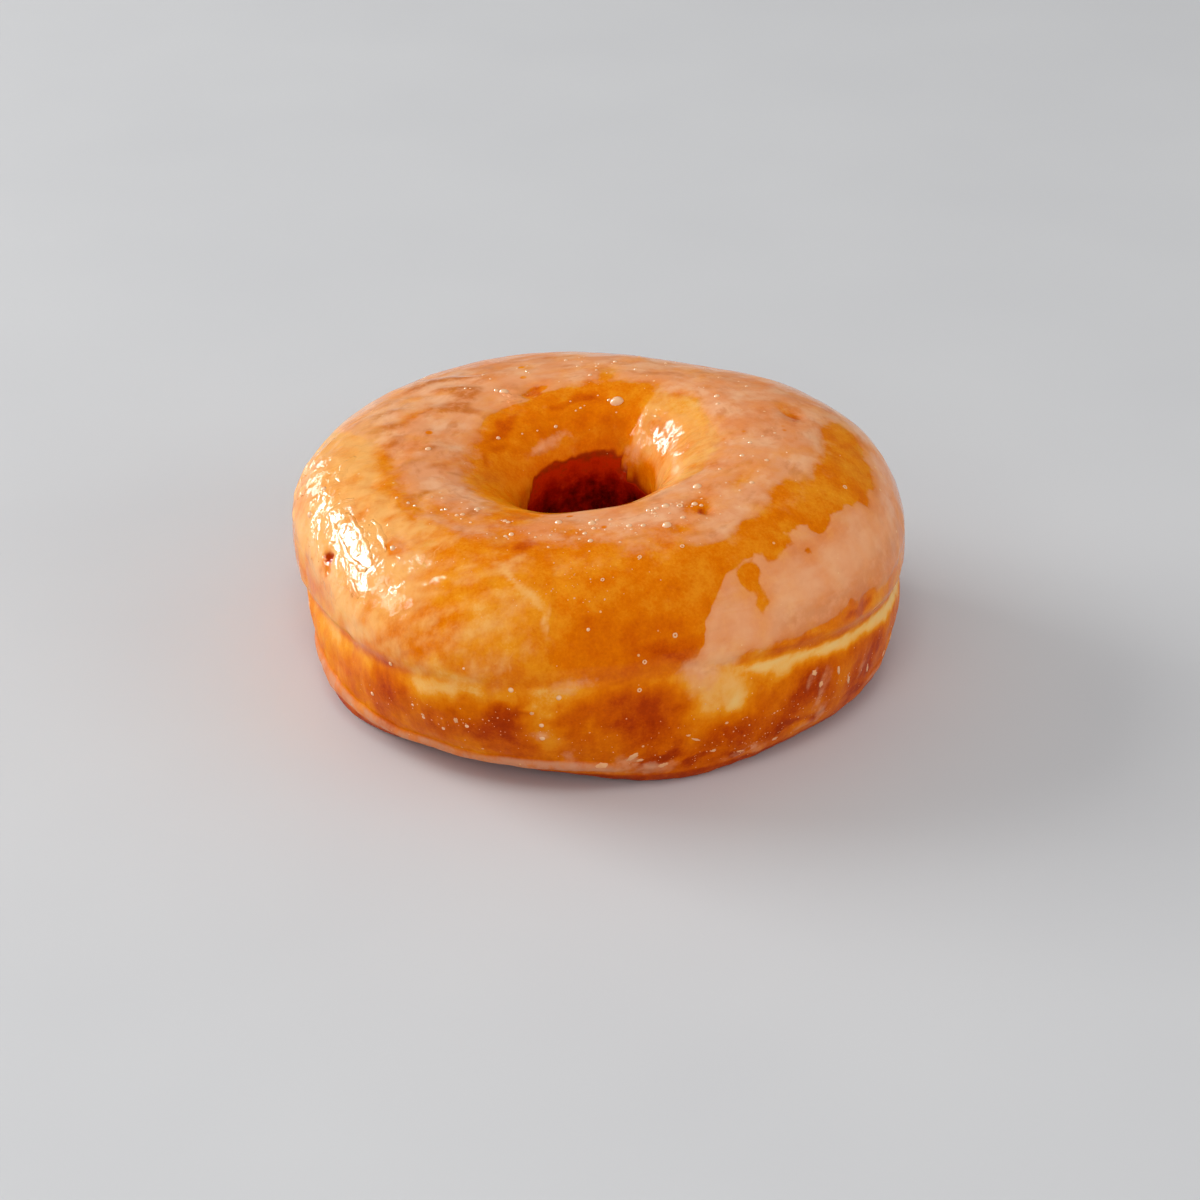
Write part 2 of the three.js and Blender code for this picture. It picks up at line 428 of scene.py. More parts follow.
# Unbrowned ovals: angle, turn, half width, half height, amount.
PALE_SPOTS = [
    (-66, 0.88, 6.0, 4.4, 0.75), (-64, 0.85, 3.4, 2.4, 0.95), (-54, 0.97, 6.0, 1.8, 0.8),
    (-117, 0.94, 2.2, 2.2, 0.42), (-124, 0.97, 2.6, 1.2, 0.36), (-110, 0.93, 1.6, 1.2, 0.36),
    (-104, 0.96, 2.2, 1.2, 0.4), (-139, 0.84, 2.0, 4.6, 0.30), (-98, 0.80, 2.6, 2.4, 0.5),
    (-99, 0.92, 1.6, 1.3, 0.5), (-88, 1.02, 5.0, 1.0, 0.3), (40, 0.84, 6.0, 4.0, 0.8),
    (126, 0.86, 6.0, 4.0, 0.8),
]


def pale_field(at):
    """How pale the crust is, from 0 to 1: in a band below the crease, and in soft spots."""
    right = smooth(sector(at, -61, 20), -4, 4)
    left = smooth(sector(at, -190, -108), -4, 6)
    depth = 2.4 + 0.7 * right + 0.4 * left + (1.2 - 0.5 * right) * layered_noise(at.point, 3.0, 41)
    depth = depth + 0.8 * streaks(at, 1.6, 8, 44)
    over = at.over_crease + 0.5 * layered_noise(at.point, 2.0, 46)
    line = smooth(-over, 0.1, 1.1) * smooth(over + depth, -0.6, 1.6) * (at.turn < 1.5)
    pale = line * (0.26 + 0.66 * right + 0.06 * left + 0.2 * layered_noise(at.point, 7, 42))
    near = warped(at, 3.0, 5.0, 43)
    for angle, turn, wide, tall, amount in PALE_SPOTS:
        inside = blob(near, angle, turn, wide, tall) / min(wide, tall)
        pale = union(pale, amount * smooth(inside, -1.0, 1.0))
    return pale.clip(0, 1)


# -------------------- relief, in millimetres

# Dents in the dough: angle, turn, radius, depth.
DENTS = [
    (-155, 1.26, 1.0, 0.9), (-153, 1.18, 0.8, 0.4), (-55, 1.89, 0.9, 0.7), (-31, 1.04, 2.2, 0.5),
    (-112, 1.87, 1.8, 0.3), (116, 2.10, 2.0, 0.6), (122, 1.99, 1.2, 0.3), (10, 1.83, 1.8, 0.3),
    (-66, 1.82, 0.9, 0.25), (160, 1.30, 2.0, 0.6), (70, 1.10, 1.6, 0.6), (66, 2.66, 3.2, 0.8),
    (64, 2.86, 2.4, 0.8),
]


def crumpled(at):
    """How crumpled the film on the glaze is, on the left and in the funnel, each from 0 to 1."""
    left = smooth(sector(at, -200, -97), -3, 6) * smooth(band(at, 1.02, 1.92), -1, 3)
    funnel = smooth(sector(at, -5, 60), -1, 1.5) * smooth(band(at, 2.35, 2.92), -1, 1.5)
    return left, funnel


def dough_relief(at):
    """How far the dough stands out from the bare ring."""
    relief = 0.45 * layered_noise(at.point, 17, 51, 2) + 0.16 * layered_noise(at.point, 5.5, 52, 2)
    low = smooth(-at.turn, -1.0, -0.8) + smooth(at.turn, 3.0, 3.4)
    relief = relief + low * 0.12 * layered_noise(at.point, 1.8, 53, 2)
    relief = relief + 0.16 * streaks(at, 2.6, 12, 54) * smooth(band(at, 0.3, 0.98), -1, 2)
    gathers = smooth(sector(at, 120, 222), -6, 6) * smooth(band(at, 1.6, 2.25), -3, 3)
    relief = relief + 0.30 * gathers * streaks(at, 2.6, 12, 55, slant=30)
    for angle, turn, radius, depth in DENTS:
        across, up = offset_from(at, angle, turn)
        relief = relief - depth * np.exp(-(across**2 + up**2) / radius**2)
    on_base = smooth(band(at, 4.02, 4.99), -1.0, 2.0) + (at.turn < 0.02)
    return relief * (1 - on_base)


GLAZE_SUNK = -0.08  # where there is no milky glaze, its shell lies this far under the crust
GLAZE_THICKNESS = 0.13
GLAZE_LIP = 0.04  # extra thickness along a crisp edge of milky glaze
SHELL_DEPTH = 0.55  # the shell's inner face lies this far under the crust
GLAZE_END_DEPTH = 0.33  # the outer face goes this far under it along the shell's two ends
GLAZE_END_FADE = 1.5
GLAZE_OVER_FLOOR = 0.05
RIM_HEIGHT = 5.0
RIM_THICKNESS = 0.65
RIM_HALF_WIDTH = 0.85


def rim_field(at):
    """How much glaze has pooled along the foot of the wall, from 0 to 1."""
    pooled = smooth(sector(at, -172, -86), -4, 5)
    patches = smooth(layered_noise(at.point, 9, 61), 0.05, 0.5)
    amount = union(pooled, 0.4 * patches)
    spread = 1 + 0.9 * smooth(sector(at, -178, -140), 0, 9)
    rise = 0.9 * layered_noise(at.point, 8, 62)
    up = np.where(at.turn < 2, (at.height - RIM_HEIGHT - rise) / (RIM_HALF_WIDTH * spread), 9)
    return amount * np.exp(-(up**4))


def glaze_relief(at, milky, rim):
    """How far the milky glaze stands out from the dough."""
    soft = softness_field(at)
    cover = smooth(milky / soft, -0.8, 1.2)
    left, funnel = crumpled(at)
    lip = GLAZE_LIP * np.exp(-(((milky - 0.8) / 0.7) ** 2)) * smooth(-soft, -1.2, -0.4)
    runs = 0.06 * layered_noise(at.point, 4.0, 63) + 0.05 * streaks(at, 4.5, 3.0, 64, slant=20)
    near = warped(at, 2.0, 5.0, 66)
    folds = np.abs(streaks(near, 5.5, 6.5, 65, slant=-25))
    creases = 0.5 - folds - 0.5 * np.abs(streaks(near, 2.2, 3.0, 67, slant=30))
    filmed = union(cover, left, 0.8 * funnel)
    height = GLAZE_SUNK + (GLAZE_THICKNESS - GLAZE_SUNK) * filmed + lip + cover * runs
    lumps = 0.35 - np.abs(layered_noise(at.point, 3.4, 68))
    height = height + 0.30 * left * creases + 0.36 * funnel * lumps
    return height + (RIM_THICKNESS + 0.2) * rim


# -------------------- meshes

STEPS_AROUND = 440
WALL_TO_THROAT = np.concatenate(
    [np.linspace(0, 1, 50, False), np.linspace(1, 2, 68, False), np.linspace(2, 3, 42, False)]
)
UNDER_TO_BASE = np.concatenate([np.linspace(3, 4, 26, False), np.linspace(4, 5, 20, False)])
FIRST_GLAZE_ROW = 10
OUTER_ROWS_PER_INNER = 4
OUTER_SHARE = 0.94  # of the glaze's map; its inner face starts at INNER_START
INNER_START = 0.95
UV_STRIPS = 2
UV_MARGIN = 0.01


def grid(turns):
    angles = np.arange(STEPS_AROUND) * TAU / STEPS_AROUND
    return np.meshgrid(angles, turns, indexing="ij")


def ring_faces(rows):
    """Quads of a grid that is closed round the ring and round its section."""
    i, j = np.meshgrid(np.arange(STEPS_AROUND), np.arange(rows), indexing="ij")
    near, far = i * rows, (i + 1) % STEPS_AROUND * rows
    above = (j + 1) % rows
    return np.stack([near + j, far + j, far + above, near + above], axis=-1).reshape(-1, 4), i, j


def new_object(name, data):
    thing = bpy.data.objects.new(name, data)
    bpy.context.scene.collection.objects.link(thing)
    return thing


def mesh_object(name, points, faces, material):
    """One visible piece, from points in millimetres."""
    mesh = bpy.data.meshes.new(name)
    mesh.from_pydata((points - CENTRE) * MM, [], faces)
    mesh.shade_smooth()
    mesh.materials.append(material)
    piece = new_object(name, mesh)
    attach(piece, "root")
    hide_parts(NODE)
    return piece


def paint(piece, at, milky, rim):
    """Give every point of a piece what the materials need to know about its place."""
    fields = {
        "milky": milky,
        "film": film_field(at),
        "brown_and_shade": browning_and_shade_field(at),
        "pale": pale_field(at),
        "rim": rim,
        "soft": softness_field(at),
        "tan": tan_field(at),
        "low": smooth(-at.over_crease, -0.5, 2.0) * (at.turn < 2),
    }
    for name, values in fields.items():
        layer = piece.data.attributes.new(name, "FLOAT", "POINT")
        layer.data.foreach_set("value", values.astype(np.float32).ravel())
    # a seamless place on the ring whose third number runs along the section, in millimetres
    ring = evened(at.radius)
    flow = np.stack([ring * np.cos(at.angle), ring * np.sin(at.angle), at.along], axis=-1)
    layer = piece.data.attributes.new("flow", "FLOAT_VECTOR", "POINT")
    layer.data.foreach_set("vector", flow.astype(np.float32).ravel())


def unroll(piece, i, low, high):
    """A map of the ring cut into strips, each strip as wide as the map."""
    columns = STEPS_AROUND // UV_STRIPS
    strip = i // columns
    left = (i % columns) / columns
    right = left + 1 / columns
    corners = np.stack([left, right, right, left], axis=-1)
    ups = np.stack([low, low, high, high], axis=-1)
    inner = 1 - 2 * UV_MARGIN
    u = UV_MARGIN + inner * corners
    v = (strip[..., None] + UV_MARGIN + inner * ups) / UV_STRIPS
    layer = piece.data.uv_layers.new(name="OFBake")
    layer.data.foreach_set("uv", np.stack([u, v], axis=-1).astype(np.float32).ravel())


def make_dough(material):
    turns = np.concatenate([WALL_TO_THROAT, UNDER_TO_BASE])
    at = spots_at(*grid(turns))
    points = at.point + at.normal * dough_relief(at)[..., None]
    points[..., 2] = points[..., 2].clip(0)
    faces, i, j = ring_faces(len(turns))
    piece = mesh_object("dough", points.reshape(-1, 3), faces.tolist(), material)
    paint(piece, at, milky_field(at), rim_field(at))
    shares = np.append(along_of(turns), SAMPLE_LENGTHS[-1]) / SAMPLE_LENGTHS[-1]
    unroll(piece, i, shares[j], shares[j + 1])


def make_glaze(material):
    """The milky glaze: a closed shell, its outer face fine and its inner face coarse."""
    turns = np.append(WALL_TO_THROAT[FIRST_GLAZE_ROW:], 3.0)
    inner_turns = turns[1 : -1 : OUTER_ROWS_PER_INNER][::-1]
    at = spots_at(*np.concatenate([grid(turns), grid(inner_turns)], axis=2))
    rows = at.turn.shape[1]
    outer = np.arange(rows) < len(turns)
    milky = np.where(outer, milky_field(at), 0)
    rim = np.where(outer, rim_field(at), 0)
    fade = smooth(band(at, turns[0], turns[-1]), 0, GLAZE_END_FADE)
    lift = glaze_relief(at, milky, rim) * fade - GLAZE_END_DEPTH * (1 - fade)
    lift = np.where(outer, lift, -SHELL_DEPTH)
    points = at.point + at.normal * (dough_relief(at) + lift)[..., None]
    points[..., 2] = points[..., 2].clip(GLAZE_OVER_FLOOR)
    faces, i, j = ring_faces(rows)
    piece = mesh_object("sugar_glaze", points.reshape(-1, 3), faces.tolist(), material)
    paint(piece, at, milky, rim)
    outer_shares = np.linspace(0, OUTER_SHARE, len(turns))
    shares = np.concatenate([outer_shares, np.linspace(INNER_START, 1.0, len(inner_turns) + 1)])
    unroll(piece, i, shares[j], shares[j + 1])


# -------------------- shader nodes

def linear(red, green, blue):
    """A colour given as it looks on a screen, from 0 to 255, as the shader needs it."""
    shares = [value / 255 for value in (red, green, blue)]
    return (*[s / 12.92 if s <= 0.04045 else ((s + 0.055) / 1.055) ** 2.4 for s in shares], 1)


MIX_INPUTS = (0, 6, 7)  # a colour Mix node's sockets for its factor and its two colours
MIX_OUTPUT = 2


class Nodes:
    """Short ways to add nodes to a material's tree."""

    def __init__(self, name):
        self.material = bpy.data.materials.new(name)
        self.material.use_nodes = True
        self.tree = self.material.node_tree
        self.shader = self.tree.nodes["Principled BSDF"]
        place = self.add("ShaderNodeTexCoord").outputs["Object"]
        self.place = self.add("ShaderNodeVectorMath", [place, None, None, 1 / MM], operation="SCALE")
        self.place = self.place.outputs[0]

    def add(self, kind, inputs=(), **settings):
        node = self.tree.nodes.new(kind)
        for key, value in settings.items():
            setattr(node, key, value)
        for socket, value in zip(node.inputs, inputs):
            self.put(socket, value)
        return node

    def put(self, socket, value):
        if isinstance(value, bpy.types.NodeSocket):
            self.tree.links.new(value, socket)
        elif value is not None:
            socket.default_value = value

    def set(self, name, value):
        self.put(self.shader.inputs[name], value)

    def field(self, name):
        return self.add("ShaderNodeAttribute", attribute_name=name).outputs["Fac"]

    def math(self, operation, *values):
        return self.add("ShaderNodeMath", values, operation=operation).outputs[0]

    def sum(self, *values):
        return functools.reduce(functools.partial(self.math, "ADD"), values)

    def product(self, *values):
        return functools.reduce(functools.partial(self.math, "MULTIPLY"), values)

    def texture(self, place, scale, detail, roughness):
        node = self.add("ShaderNodeTexNoise")
        inputs = {"Vector": place, "Scale": scale, "Detail": detail, "Roughness": roughness}
        for name, value in inputs.items():
            self.put(node.inputs[name], value)
        return node.outputs["Fac"]

    def noise(self, cell, detail=2.0, roughness=0.5):
        """Noise from 0 to 1 with blobs about one cell of millimetres across."""
        return self.texture(self.place, 1 / cell, detail, roughness)

    def streaks(self, across, along, detail=2.0, roughness=0.5):
        """Noise from 0 to 1 that is drawn out along the section; cell sizes in millimetres."""
        flow = self.add("ShaderNodeAttribute", attribute_name="flow").outputs["Vector"]
        scale = (1 / across, 1 / across, 1 / along)
        flow = self.add("ShaderNodeVectorMath", [flow, scale], operation="MULTIPLY").outputs[0]
        return self.texture(flow, 1.0, detail, roughness)

    def centred(self, value, amount):
        """Noise from 0 to 1 turned into noise from minus to plus this amount."""
        return self.math("MULTIPLY_ADD", value, 2 * amount, -amount)

    def ridges(self, value, width=0.12):
        """1 along the middle level of a noise, falling off to both sides: thin wrinkle lines."""
        return self.ramp(self.math("ABSOLUTE", self.centred(value, 1.0)), width, 0.0)

    def dots(self, cell, size, share):
        """1 in small round dots, in this share of the cells; sizes in millimetres."""
        cells = self.add("ShaderNodeTexVoronoi")
        self.put(cells.inputs["Vector"], self.place)
        self.put(cells.inputs["Scale"], 1 / cell)
        near = self.ramp(cells.outputs["Distance"], size / cell, 0.6 * size / cell)
        pick = self.add("ShaderNodeSeparateColor", [cells.outputs["Color"]]).outputs[0]
        return self.product(near, self.math("LESS_THAN", pick, share))

    def ramp(self, value, low, high, to_low=0.0, to_high=1.0):
        """A smooth step from one value to another."""
        values = [value, low, high, to_low, to_high]
        node = self.add("ShaderNodeMapRange", values, interpolation_type="SMOOTHSTEP")
        return node.outputs["Result"]

    def mix(self, share, first, second):
        node = self.add("ShaderNodeMix", data_type="RGBA", clamp_factor=True)
        for socket, value in zip(MIX_INPUTS, (share, first, second)):
            self.put(node.inputs[socket], value)
        return node.outputs[MIX_OUTPUT]

    def shades(self, value, stops):
        """A colour scale through stops (position, colour)."""
        node = self.add("ShaderNodeValToRGB", [value])
        scale = node.color_ramp.elements
        for _ in stops[2:]:
            scale.new(0.5)
        for element, (position, colour) in zip(scale, stops):
            element.position = position
            element.color = colour
        return node.outputs["Color"]

    def bump(self, height, distance, strength=1.0, normal=None):
        node = self.add("ShaderNodeBump")
        self.put(node.inputs["Height"], height)
        self.put(node.inputs["Distance"], distance * MM)
        self.put(node.inputs["Strength"], strength)
        self.put(node.inputs["Normal"], normal)
        return node.outputs["Normal"]


CRUST_AND_SHADE_SCALE = [
    (0.0, linear(247, 200, 126)),
    (0.12, linear(248, 184, 96)),
    (0.27, linear(243, 150, 26)),
    (0.43, linear(231, 119, 1)),
    (0.60, linear(212, 92, 0)),
    (0.75, linear(186, 64, 2)),
    (0.85, linear(162, 50, 4)),
    # The stops past 0.85 are painted shade, reddened as by light bouncing in the hole, down to near
    # black; they are reached only in the hole's throat and in the pit.
    (0.90, linear(210, 48, 2)),
    (0.95, linear(168, 20, 0)),
    (1.0, linear(62, 2, 0)),
]
MILKY_PINK = linear(246, 184, 138)
MILKY_TAN = linear(238, 162, 112)
MILKY_BROWN = linear(198, 110, 52)
FILM_PEACH = linear(250, 186, 108)
RIM_PINK = linear(216, 148, 110)
SPECK_WHITE = linear(252, 210, 150)


def crust_and_shade_colour(n):
    """Fried crust: cream where the fat didn't reach, through gold and amber to red-brown, and past that
    painted shade, deep red to near black, in the hole and the pit.
    """
    mottle = n.centred(n.noise(2.8, 4, 0.6), 0.18)
    fine = n.centred(n.noise(0.42, 3, 0.65), 0.12)
    strength = n.ramp(n.field("low"), 0, 1, 0.05, 0.10)
    grain = n.product(n.centred(n.streaks(0.8, 3.0, 3), 1.0), strength)
    uneven = n.product(n.sum(mottle, fine, grain), n.ramp(n.field("brown_and_shade"), 0.80, 0.88, 1.0, 0.22))
    darkest = n.ramp(n.field("brown_and_shade"), 0.81, 0.87, 0.84, 1.0)
    brown_and_shade = n.math("MINIMUM", n.sum(n.field("brown_and_shade"), uneven), darkest)
    pale = n.sum(n.field("pale"), n.centred(n.noise(2.2, 4, 0.6), 0.22))
    fried = n.ramp(pale, -0.1, 1.15, 1.0, 0.04)
    return n.shades(n.product(brown_and_shade, fried), CRUST_AND_SHADE_SCALE)


def milky_share(n):
    """How milky the glaze looks: crisp or soft at its edges, thinner in places, none at 0."""
    jitter = n.sum(n.centred(n.noise(0.9, 3, 0.6), 0.6), n.centred(n.noise(2.4, 3), 0.7))
    reach = n.sum(n.math("DIVIDE", n.field("milky"), n.field("soft")), jitter)
    thin = n.ramp(n.field("milky"), 0.0, 2.8, 0.66, 1.0)
    edge = n.product(n.ramp(reach, -0.5, 0.7), thin)
    vary = n.ramp(n.field("soft"), 0.5, 1.2, 0.3, 1.0)
    patchy = n.product(n.centred(n.noise(5.0, 5, 0.55), 1.0), vary)
    density = n.ramp(patchy, -0.32, 0.16, 0.55, 0.92)
    runs = n.ramp(n.streaks(8.0, 2.6, 4, 0.6), 0.32, 0.55, 0.74, 1.0)
    holes = n.math("SUBTRACT", 1.0, n.dots(7.0, 0.75, 0.4))
    return n.product(edge, density, runs, holes)


def milky_colour(n):
    """Sugar glaze that has gone milky: pinkish where thick, tan in long soft streaks."""
    vary = n.ramp(n.field("soft"), 0.5, 1.2, 0.3, 1.0)
    patchy = n.product(n.centred(n.noise(6.0, 4, 0.55), 1.0), vary)
    cloud = n.mix(n.ramp(patchy, -0.16, 0.20), MILKY_TAN, MILKY_PINK)
    bands = n.product(n.ramp(n.streaks(5.0, 3.0, 4, 0.6), 0.50, 0.72, 0, 0.55), vary)
    ragged = n.ramp(n.noise(1.6, 4, 0.6), 0.3, 0.6, 0.4, 1.0)
    return n.mix(n.math("MAXIMUM", bands, n.product(n.field("tan"), ragged)), cloud, MILKY_BROWN)


def sugar_specks(n):
    """Tiny white crystals and bubbles, thickest on the wall below the crease."""
    often = n.math("MULTIPLY_ADD", n.field("low"), 0.22, 0.16)
    fine = n.product(n.dots(1.5, 0.12, often), 0.7)
    return n.math("MAXIMUM", fine, n.product(n.dots(2.9, 0.26, often), 0.6))


def film_share(n):
    """The crinkled half-clear film: in ragged sheets, palest along its wrinkles."""
    ragged = n.sum(n.centred(n.noise(4.5, 5, 0.6), 0.6), n.centred(n.streaks(1.6, 4.0, 4, 0.6), 0.3))
    sheet = n.ramp(n.sum(n.field("film"), ragged), 0.15, 0.95, 0, 0.82)
    lines = n.ridges(n.streaks(3.0, 7.0, 3, 0.5), 0.09)
    return n.math("MAXIMUM", sheet, n.product(lines, n.ramp(n.field("film"), 0.25, 0.75, 0, 0.5)))


# The crust's colour mixed in here carries painted shade along the crease, in the pit, under the wall's
# foot and deep in the hole.
def glazed_colour(n):
    filmed = n.mix(film_share(n), crust_and_shade_colour(n), FILM_PEACH)
    milky = n.mix(milky_share(n), filmed, milky_colour(n))
    patchy = n.ramp(n.noise(2.6, 4, 0.6), 0.36, 0.6, 0.35, 0.9)
    pooled = n.product(n.ramp(n.field("rim"), 0.10, 0.6), patchy)
    rimmed = n.mix(pooled, milky, RIM_PINK)
    return n.mix(sugar_specks(n), rimmed, SPECK_WHITE)


def glazed_material(name, subsurface, fine_bump):
    n = Nodes(name)
    n.set("Base Color", glazed_colour(n))
    n.set("Roughness", n.ramp(n.noise(2.5, 3), 0.3, 0.7, 0.30, 0.45))
    drier = n.ramp(n.field("low"), 0, 1, 1.0, 0.4)
    n.set("Coat Weight", n.product(n.ramp(n.noise(5.0, 3), 0.3, 0.6, 0.6, 1.0), drier))
    n.set("Coat Roughness", 0.08)
    n.set("Coat IOR", 1.2)
    n.set("Specular IOR Level", 0.0)
    n.set("Subsurface Weight", subsurface)
    n.set("Subsurface Radius", (1.0, 0.42, 0.12))
    n.set("Subsurface Scale", 1.2 * MM)
    broad = n.bump(n.noise(2.2, 3), 0.14, 0.5)
    crumpled = n.ramp(n.field("film"), 0.35, 0.75)
    lines = n.ridges(n.streaks(2.4, 4.0, 3, 0.5), 0.2)
    folds = n.ridges(n.noise(3.0, 2, 0.5), 0.2)
    crinkle = n.product(n.sum(lines, n.product(folds, 0.4)), crumpled)
    creases = n.bump(crinkle, 0.06, 0.45, broad)
    n.set("Normal", n.bump(n.noise(0.45, 3, 0.6), fine_bump, 0.6, creases))
    n.put(n.shader.inputs["Coat Normal"], creases)
    return n.material


# -------------------- bubbles, crystals and flakes

# Rings round a small cap, from its top out, and their heights, as shares of its half size. The last
# ring lies under the glaze.
RINGS = np.array([0.35, 0.62, 0.84, 1.0, 1.12])
DOME = np.array([0.50, 0.38, 0.20, 0.0, -0.3])
BURST = np.array([-0.05, 0.16, 0.30, 0.05, -0.3])
FLAKE = np.array([0.16, 0.17, 0.14, 0.0, -0.3])


def on_glaze(angles, alongs, rises):
    """Places and points this far above the glaze's outer face."""
    at = spots_at(angles, np.interp(alongs, SAMPLE_LENGTHS, SAMPLE_TURNS))
    milky, rim = milky_field(at), rim_field(at)
    ground = dough_relief(at) + glaze_relief(at, milky, rim).clip(0)
    return at, milky, rim, at.point + at.normal * (ground + rises)[..., None]


def cap_faces(sides):
    """Faces of one cap, whose points are its rings, its top and its bottom."""
    rings = len(RINGS)
    top, bottom = rings * sides, rings * sides + 1
    last = bottom - 1 - sides
    faces = []
    for step in range(sides):
        after = (step + 1) % sides
        faces.append((top, step, after))
        faces.append((bottom, last + after, last + step))
        for start in range(0, last, sides):
            outer = start + sides
            faces.append((outer + step, outer + after, start + after, start + step))
    return faces


def cap_object(name, rows, rng, material, sides, ragged):
    """Small closed caps on the glaze, from rows of angle, turn, half sizes, lean and profile."""
    angle, turn, wide, tall, lean = np.transpose([row[:5] for row in rows])[:, :, None, None]
    rises = np.array([row[5] for row in rows])[:, :, None] * np.minimum(wide, tall)
    steps = np.arange(sides) * TAU / sides
    outline = 1 + ragged * rng.uniform(-1, 1, (len(rows), 1, sides))
    across = wide * RINGS[:, None] * outline * np.cos(steps)
    up = tall * RINGS[:, None] * outline * np.sin(steps)
    cosine, sine = np.cos(np.radians(lean)), np.sin(np.radians(lean))
    radius = spots_at(np.radians(angle), turn).radius
    angles = np.radians(angle) + (across * cosine - up * sine) / radius
    alongs = along_of(turn) + across * sine + up * cosine
    caps = on_glaze(angles, alongs, rises)[-1]
    top = caps[:, 0].mean(axis=1, keepdims=True)
    bottom = caps[:, -1].mean(axis=1, keepdims=True)
    points = np.concatenate([caps.reshape(len(rows), -1, 3), top, bottom], axis=1)
    many_mesh(name, points, cap_faces(sides), material)


def many_mesh(name, points, faces, material):
    """One piece of many copies with the same faces; points are sorted by copy."""
    count, size = points.shape[:2]
    joined = [[size * k + corner for corner in face] for k in range(count) for face in faces]
    return mesh_object(name, points.reshape(-1, 3), joined, material)


def scattered(rng, clusters, smallest, largest, profile):
    """Rows for cap_object: clusters are angle, turn, spread in degrees and in turns, and count."""
    rows = []
    for angle, turn, wide, tall, count in clusters:
        for _ in range(count):
            size = smallest + (largest - smallest) * rng.random() ** 3
            place = (angle + wide * rng.normal() * 0.6, turn + tall * rng.normal() * 0.6)
            rows.append((*place, size, size, 0, profile))
    return rows


def make_bubbles(material):
    """Domes of trapped air in the glaze, and rings where one has burst."""
    rng = np.random.default_rng(7)
    domes = [  # angle, turn, radius in millimetres
        (-55.5, 1.96, 0.50), (-70, 2.02, 0.40), (75, 2.38, 1.1), (-89.5, 1.88, 0.42),
        (-100, 2.04, 0.55), (-89, 2.01, 0.60), (-64, 2.01, 0.62), (-48, 2.07, 0.70),
        (-68, 1.88, 0.70), (-78, 1.94, 0.45), (-83, 2.02, 0.30), (30, 2.07, 0.5),
        (23, 2.13, 0.4), (174, 2.04, 0.5), (-132, 2.07, 0.45), (123, 2.0, 0.8),
        (-176, 1.47, 0.5), (-172, 1.30, 0.6), (-138, 1.60, 0.5),
        (-98, 0.83, 0.36), (-98, 0.74, 0.42), (-111, 0.78, 0.32), (-120, 0.74, 0.30),
        (-95, 0.98, 0.40), (-103, 1.01, 0.40), (-127, 0.97, 0.36), (-134, 0.70, 0.36),
        (-90, 1.35, 0.28), (-111, 1.11, 0.20), (-116, 0.71, 0.30), (-122, 0.80, 0.24),
    ]
    burst = [
        (-60, 1.98, 0.50), (-74, 1.25, 0.40), (-80, 1.13, 0.34), (-81, 0.98, 0.36), (-67.5, 1.72, 0.34),
        (-18, 1.57, 0.35), (-78, 1.72, 0.34), (-87, 1.62, 0.30),
    ]
    rows = [(angle, turn, size, size, 0, DOME) for angle, turn, size in domes]
    rows += [(angle, turn, size, size, 0, BURST) for angle, turn, size in burst]
    clusters = [
        (-88, 1.96, 16, 0.10, 26), (-60, 1.96, 14, 0.12, 18), (-112, 1.94, 8, 0.10, 12),
        (-140, 1.98, 16, 0.12, 18), (90, 1.9, 60, 0.15, 36), (100, 2.4, 40, 0.12, 12),
        (-20, 2.0, 20, 0.12, 12),
    ]
    rows += scattered(rng, clusters, 0.14, 0.42, DOME)
    cap_object("glaze_bubbles", rows, rng, material, sides=12, ragged=0.06)


def make_crystals(material):
    """Grains of sugar that stick out of the glaze."""
    rng = np.random.default_rng(8)
    clusters = [
        (-88, 1.96, 16, 0.10, 40), (-92, 1.60, 12, 0.12, 46), (-60, 1.9, 12, 0.10, 26),
        (-132, 1.62, 12, 0.10, 20), (-110, 0.78, 20, 0.12, 70), (-70, 0.72, 20, 0.16, 50),
        (-45, 0.66, 16, 0.16, 60), (-62, 0.50, 22, 0.08, 50), (100, 0.7, 60, 0.16, 90),
        (0, 0.7, 20, 0.16, 40), (170, 0.7, 20, 0.14, 40),
    ]
    rows = scattered(rng, clusters, 0.06, 0.16, DOME)
    cap_object("sugar_crystals", rows, rng, material, sides=6, ragged=0.3)


def make_flakes(material):
    """Thin flakes and drips of dried glaze on the lower wall."""
    rng = np.random.default_rng(9)
    flakes = [  # angle, turn, half width, half height, lean
        (-43.5, 0.75, 0.4, 0.5, 0), (-45.5, 0.84, 0.4, 0.6, 30), (-82, 0.56, 0.5, 1.0, -50),
        (-80.5, 0.52, 0.6, 0.3, 10), (-87.5, 0.50, 0.9, 0.4, 5), (-76, 0.46, 0.8, 0.4, 15),
        (-70, 0.63, 0.8, 0.2, -25), (-71.5, 0.67, 0.3, 0.2, 0), (-66, 0.50, 0.4, 0.3, 0),
        (-60, 0.42, 0.7, 0.2, -10), (-52, 0.42, 0.6, 0.3, 0), (-35, 0.66, 0.3, 0.9, 20),
        (-27, 0.60, 0.3, 0.9, 15), (-39, 0.78, 0.3, 0.8, 12), (-99.5, 0.90, 0.3, 0.3, 0),
        (-113, 0.80, 0.4, 0.5, 0), (-120, 0.76, 0.3, 0.3, 0), (-64, 0.70, 0.3, 0.2, 0),
    ]
    for angle in rng.uniform(-20, 190, 30):
        flakes.append((angle, rng.uniform(0.4, 0.72), *rng.uniform(0.2, 0.7, 2), rng.uniform(-40, 40)))
    rows = [(*flake, FLAKE) for flake in flakes]
    cap_object("glaze_flakes", rows, rng, material, sides=18, ragged=0.28)


